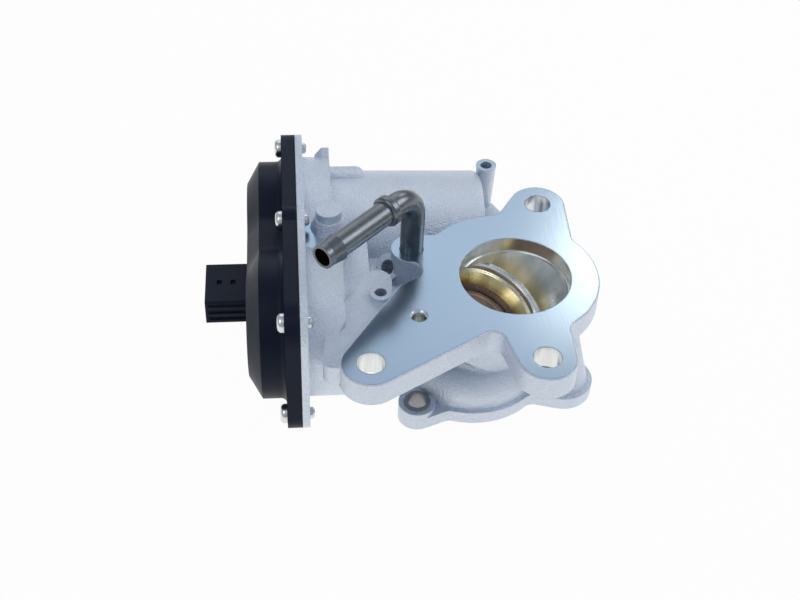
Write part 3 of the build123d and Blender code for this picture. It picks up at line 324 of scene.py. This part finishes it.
disc, tree, shader = finish("browned_steel", (0.30, 0.21, 0.16), 1.0, 0.42)
radius = seat_coordinates(tree)[0]
tint = between(tree, grain(tree, 220, 3), (0.24, 0.16, 0.12), (0.42, 0.31, 0.25))
tree.links.new(tint, shader.inputs["Base Color"])
relief(tree, shader, [(turned_bands(tree, radius, 0.0005), 0.00003)], 0.0002)
dress(disc, "flap_disc")


# Metal parts of the shaft line, the motor and the cover's fixings: ground steel shaft and pins, plated
# screws, a bronze bush and brass contacts. They sit in the housing's bores or are screwed to it.
def plain_metal(name, colour, roughness, scale=500, edge=0.0002):
    """Metal with a slight drift in tone and gloss and fine marks."""
    made, tree, shader = finish(name, colour, 1.0, roughness)
    darker = tuple(0.86 * c for c in colour)
    tree.links.new(between(tree, grain(tree, scale / 4, 3), darker, colour), shader.inputs["Base Color"])
    gloss = between(tree, grain(tree, scale, 2), roughness * 0.8, roughness * 1.2)
    tree.links.new(gloss, shader.inputs["Roughness"])
    relief(tree, shader, [(grain(tree, scale * 2, 2), 0.00002)], edge)
    return made


dress(plain_metal("ground_steel", (0.62, 0.62, 0.63), 0.22), "valve_shaft", "intermediate_axle")
dress(plain_metal("bush_steel", (0.30, 0.31, 0.33), 0.3), "lug_bush")
dress(plain_metal("bearing_steel", (0.72, 0.72, 0.74), 0.15), "shaft_bearing")
dress(plain_metal("bronze", (0.60, 0.40, 0.20), 0.4), "shaft_bush")
dress(plain_metal("bright_zinc", (0.80, 0.80, 0.80), 0.25), "cover_screws", "motor_screws")
drawn_steel = plain_metal("drawn_steel", (0.56, 0.57, 0.58), 0.3)
dress(drawn_steel, "motor_can", "motor_plate", "axle_clip", "return_spring")
dress(plain_metal("magnet_grey", (0.20, 0.20, 0.21), 0.5), "sensor_magnet", "motor_magnets")
dress(plain_metal("rotor_iron", (0.34, 0.24, 0.17), 0.45), "motor_rotor")
brass = plain_metal("pinion_brass", (0.76, 0.58, 0.28), 0.28)
dress(brass, "motor_pinion", "motor_contacts", "connector_pins")


# Coolant pipe. Drawn stainless tube, bent and rolled with a bead and a barb, dull grey with bright
# lines. It is pressed into the housing beside the bore.
pipe, tree, shader = finish("drawn_stainless", (0.40, 0.38, 0.36), 1.0, 0.2)
tint = between(tree, grain(tree, 120, 4), (0.13, 0.14, 0.155), (0.22, 0.235, 0.255))
tree.links.new(tint, shader.inputs["Base Color"])
tree.links.new(between(tree, grain(tree, 500, 3), 0.22, 0.36), shader.inputs["Roughness"])
relief(tree, shader, [(grain(tree, 700, 3), 0.00003)], 0.0002)
dress(pipe, "coolant_pipe")


# Cover, gears and the other mouldings. The cover is black glass-filled nylon with a fine spark texture,
# screwed to the case over its gasket; the gears are pale nylon.
def moulded(name, colour, roughness, scale=1400, depth=0.00003, edge=0.0004):
    """Moulded plastic or rubber with a fine textured skin."""
    made, tree, shader = finish(name, colour, 0.0, roughness)
    lighter = tuple(min(1.0, 1.25 * c) for c in colour)
    tree.links.new(between(tree, grain(tree, 150, 3), colour, lighter), shader.inputs["Base Color"])
    gloss = between(tree, grain(tree, 300, 2), roughness * 0.85, roughness * 1.15)
    tree.links.new(gloss, shader.inputs["Roughness"])
    shader.inputs["Specular IOR Level"].default_value = 0.14
    relief(tree, shader, [(grain(tree, scale, 3), depth)], edge)
    return made


dress(moulded("black_nylon", (0.006, 0.011, 0.027), 0.42), "gear_cover")
dress(moulded("gasket_rubber", (0.02, 0.02, 0.022), 0.6), "cover_gasket", "shaft_seal")
dress(moulded("gear_nylon", (0.72, 0.66, 0.50), 0.4), "output_gear", "intermediate_gear")
dress(moulded("guide_plastic", (0.03, 0.03, 0.034), 0.5), "spring_guide")
dress(moulded("board_lacquer", (0.02, 0.14, 0.06), 0.3), "sensor_board")
